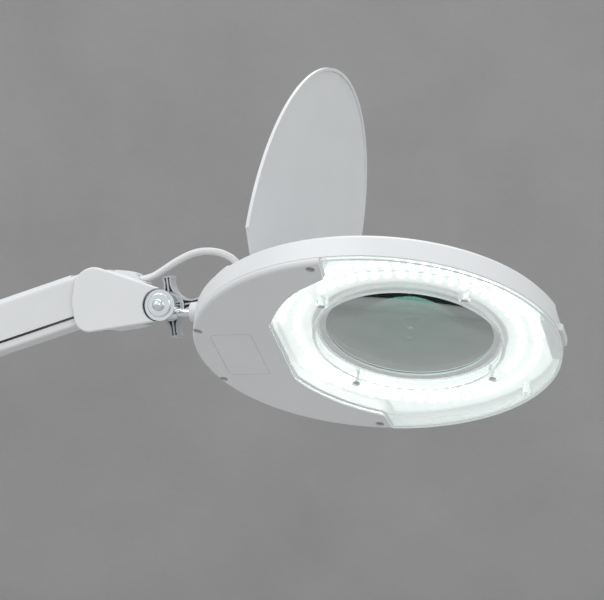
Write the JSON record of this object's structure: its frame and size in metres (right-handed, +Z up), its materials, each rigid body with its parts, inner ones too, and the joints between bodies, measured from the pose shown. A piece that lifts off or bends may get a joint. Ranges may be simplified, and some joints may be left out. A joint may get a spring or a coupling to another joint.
{
  "type": "magnifying lamp",
  "caption": "Table-clamped magnifying lamp: sprung parallel arm, tilting oval LED head with a round lens behind a clear cover, and a hinged lid.",
  "frame": {"origin": "middle of the clamp face that rests on the table top, on the swivel axis", "axes": "+Z up along the swivel axis, +X along the arm towards the head as it stands"},
  "size_m": [0.7825, 0.2669, 0.9251],
  "materials": {
    "white_housing": "fine textured white ABS",
    "arm_paint": "satin white powder coat",
    "grey_paint": "light grey powder coat",
    "bright_zinc": "bright zinc plate",
    "steel": "brushed steel",
    "spring_steel": "oiled spring steel",
    "clear_plastic": "clear polycarbonate, frosted over the lamps",
    "lens_glass": "polished crown glass",
    "led": "lit white LED",
    "white_board": "white solder mask",
    "green_board": "green solder mask",
    "component": "moulded components",
    "knob_plastic": "light grey glass-filled nylon",
    "nylon": "natural nylon",
    "fibre": "vulcanised fibre",
    "black_rubber": "moulded rubber",
    "cable_white": "white PVC sheath",
    "switch_black": "black rocker"
  },
  "bodies": {
    "clamp": {"clamp_frame": "arm_paint", "jaw_pad": "black_rubber", "swivel_bush": "nylon"},
    "clamp_pad": {"clamp_pad_cup": "bright_zinc", "clamp_pad_rubber": "black_rubber"},
    "clamp_screw": {"clamp_screw": "bright_zinc", "clamp_knob": "knob_plastic"},
    "base_knuckle": {"base_bracket": "steel", "swivel_pin": "bright_zinc", "base_pins": "steel", "base_cover_near": "white_housing", "base_cover_far": "white_housing", "base_cover_screw": "bright_zinc", "cord_grommet": "white_housing"},
    "lower_arm": {"lower_arm_channel": "arm_paint", "lower_arm_springs": "spring_steel", "lower_arm_spring_pins": "steel"},
    "lower_arm_link": {"lower_arm_link": "arm_paint"},
    "elbow_knuckle": {"elbow_bracket": "steel", "elbow_pins": "steel", "elbow_cover_near": "white_housing", "elbow_cover_far": "white_housing", "elbow_cover_screw": "bright_zinc"},
    "forearm": {"forearm_channel": "arm_paint", "forearm_springs": "spring_steel", "forearm_spring_pins": "steel"},
    "forearm_link": {"forearm_link": "arm_paint"},
    "end_knuckle": {"end_bracket": "steel", "end_pins": "steel", "end_cover_near": "white_housing", "end_cover_far": "white_housing", "end_cover_screws": "bright_zinc", "tilt_bolt": "bright_zinc", "tilt_washers": "bright_zinc", "fibre_washer": "fibre", "dome_nut": "bright_zinc", "cable_loop": "cable_white"},
    "tilt_knob": {"tilt_knob": "knob_plastic", "knob_insert": "bright_zinc"},
    "tilt_hub": {"tilt_hub": "bright_zinc"},
    "head": {"rod": "bright_zinc", "neck_collar": "white_housing", "rear_cover": "white_housing", "cable_gland": "white_housing", "hinge_pins": "steel", "head_housing": "white_housing", "base_plate": "white_housing", "clear_cover": "clear_plastic", "head_screws": "steel", "lens_carrier": "white_housing", "lens": "lens_glass", "lens_retainer": "white_housing", "reflector": "white_board", "led_board": "white_board", "leds": "led", "driver_board": "green_board", "driver_parts": "component", "switch_bezel": "switch_black"},
    "lid": {"lid": "white_housing"},
    "switch_rocker": {"switch_rocker": "switch_black"}
  },
  "joints": [
    {"name": "clamp_screw_travel", "type": "slide", "parent": "clamp", "child": "clamp_pad", "axis": [0, 0, 1], "range_m": [-0.0291, 0.0221]},
    {"name": "clamp_screw_turn", "type": "hinge", "parent": "clamp_pad", "child": "clamp_screw", "pos_m": [0, 0, -0.1], "axis": [0, 0, 1], "range_deg": [-6990, 5310]},
    {"name": "swivel", "type": "hinge", "parent": "clamp", "child": "base_knuckle", "pos_m": [0, 0, 0.046], "axis": [0, 0, 1], "continuous": true},
    {"name": "lower_arm_lift", "type": "hinge", "parent": "base_knuckle", "child": "lower_arm", "pos_m": [-0.0104, 0, 0.084], "axis": [0, -1, 0], "range_deg": [-52, 18]},
    {"name": "lower_link_swing", "type": "hinge", "parent": "base_knuckle", "child": "lower_arm_link", "pos_m": [0.0086, 0, 0.084], "axis": [0, -1, 0], "range_deg": [-52.2, 18.2]},
    {"name": "elbow_level", "type": "hinge", "parent": "lower_arm", "child": "elbow_knuckle", "pos_m": [-0.16773, 0, 0.47342], "axis": [0, -1, 0], "range_deg": [-18.2, 52.2]},
    {"name": "forearm_lift", "type": "hinge", "parent": "elbow_knuckle", "child": "forearm", "pos_m": [-0.15973, 0, 0.51942], "axis": [0, -1, 0], "range_deg": [-45.5, 34.5]},
    {"name": "forearm_link_swing", "type": "hinge", "parent": "elbow_knuckle", "child": "forearm_link", "pos_m": [-0.15973, 0, 0.50042], "axis": [0, -1, 0], "range_deg": [-45.7, 34.7]},
    {"name": "end_level", "type": "hinge", "parent": "forearm", "child": "end_knuckle", "pos_m": [0.24499, 0, 0.63166], "axis": [0, -1, 0], "range_deg": [-34.7, 45.7]},
    {"name": "tilt", "type": "hinge", "parent": "end_knuckle", "child": "tilt_hub", "pos_m": [0.29699, 0, 0.61851], "axis": [0, -1, 0], "range_deg": [-60, 60], "deforming": ["cable_loop"]},
    {"name": "roll", "type": "hinge", "parent": "tilt_hub", "child": "head", "pos_m": [0.29379, 0, 0.61301], "axis": [1, 0, 0], "range_deg": [-45, 105]},
    {"name": "tilt_knob_turn", "type": "hinge", "parent": "end_knuckle", "child": "tilt_knob", "pos_m": [0.29699, 0, 0.61851], "axis": [0, 1, 0], "range_deg": [-540, 0]},
    {"name": "lid_open", "type": "hinge", "parent": "head", "child": "lid", "pos_m": [0.38379, -0.00635, 0.60189], "axis": [0, -0.8682, 0.4962], "range_deg": [-79.5, 15]},
    {"name": "switch_rock", "type": "hinge", "parent": "head", "child": "switch_rocker", "pos_m": [0.35879, 0.03053, 0.58139], "axis": [1, 0, 0], "range_deg": [-14, 0]}
  ],
  "couplings": [
    {"joint": "clamp_screw_turn", "follows": "clamp_screw_travel", "rad_per_m": 4188.8},
    {"joint": "lower_link_swing", "follows": "lower_arm_lift", "ratio": 1},
    {"joint": "elbow_level", "follows": "lower_arm_lift", "ratio": -1},
    {"joint": "forearm_link_swing", "follows": "forearm_lift", "ratio": 1},
    {"joint": "end_level", "follows": "forearm_lift", "ratio": -1}
  ]
}
